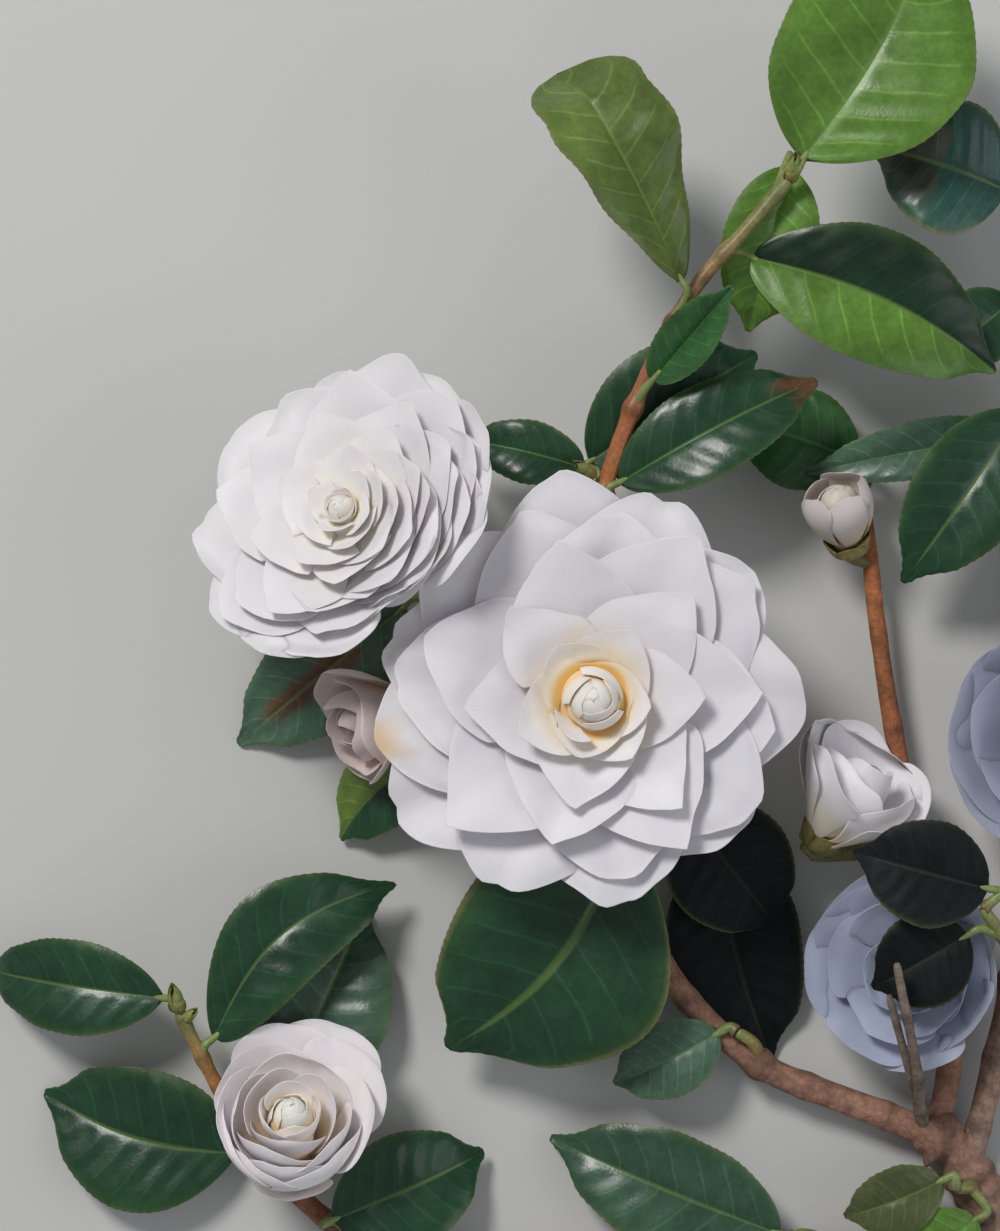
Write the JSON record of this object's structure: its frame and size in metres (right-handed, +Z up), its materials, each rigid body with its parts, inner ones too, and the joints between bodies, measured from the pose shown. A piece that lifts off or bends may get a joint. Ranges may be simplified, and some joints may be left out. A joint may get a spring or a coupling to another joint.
{
  "type": "cut flowering camellia branch",
  "caption": "Flowering branch cut from a camellia shrub, laid on its back: white formal double blooms, glossy dark leaves, young red-brown shoots and forked grey-brown wood.",
  "frame": {"origin": "on the floor, under the middle of the branch's box", "axes": "+Z up, the way the blooms face; +Y along the branch towards the tip of its leading shoot; the cut end is at +X, -Y"},
  "size_m": [0.2712, 0.3078, 0.0643],
  "materials": {
    "bark": "rough grey-brown bark",
    "shoot": "smooth red-brown young bark",
    "leaf": "leathery and glossy",
    "petal": "soft, thin and slightly translucent"
  },
  "bodies": {
    "root": {"old_wood": "bark", "flowering_branch": "bark", "lower_left_branch": "bark", "right_branch": "bark", "edge_branch": "bark", "dead_twigs": "bark", "leading_shoot": "leaf", "left_spur": "leaf", "under_shoot": "leaf", "node_shoot": "leaf", "lower_shoot": "leaf", "middle_shoot": "leaf", "lower_left_shoot": "leaf", "inner_shoot": "leaf", "base_shoot": "leaf", "edge_shoot": "leaf", "bud_shoot": "leaf", "main_bloom": "petal", "left_bloom": "petal", "third_bloom": "petal", "small_bloom": "petal", "right_bloom": "petal", "shaded_bloom": "petal", "edge_bloom": "petal", "opening_bud": "petal"}
  },
  "joints": []
}
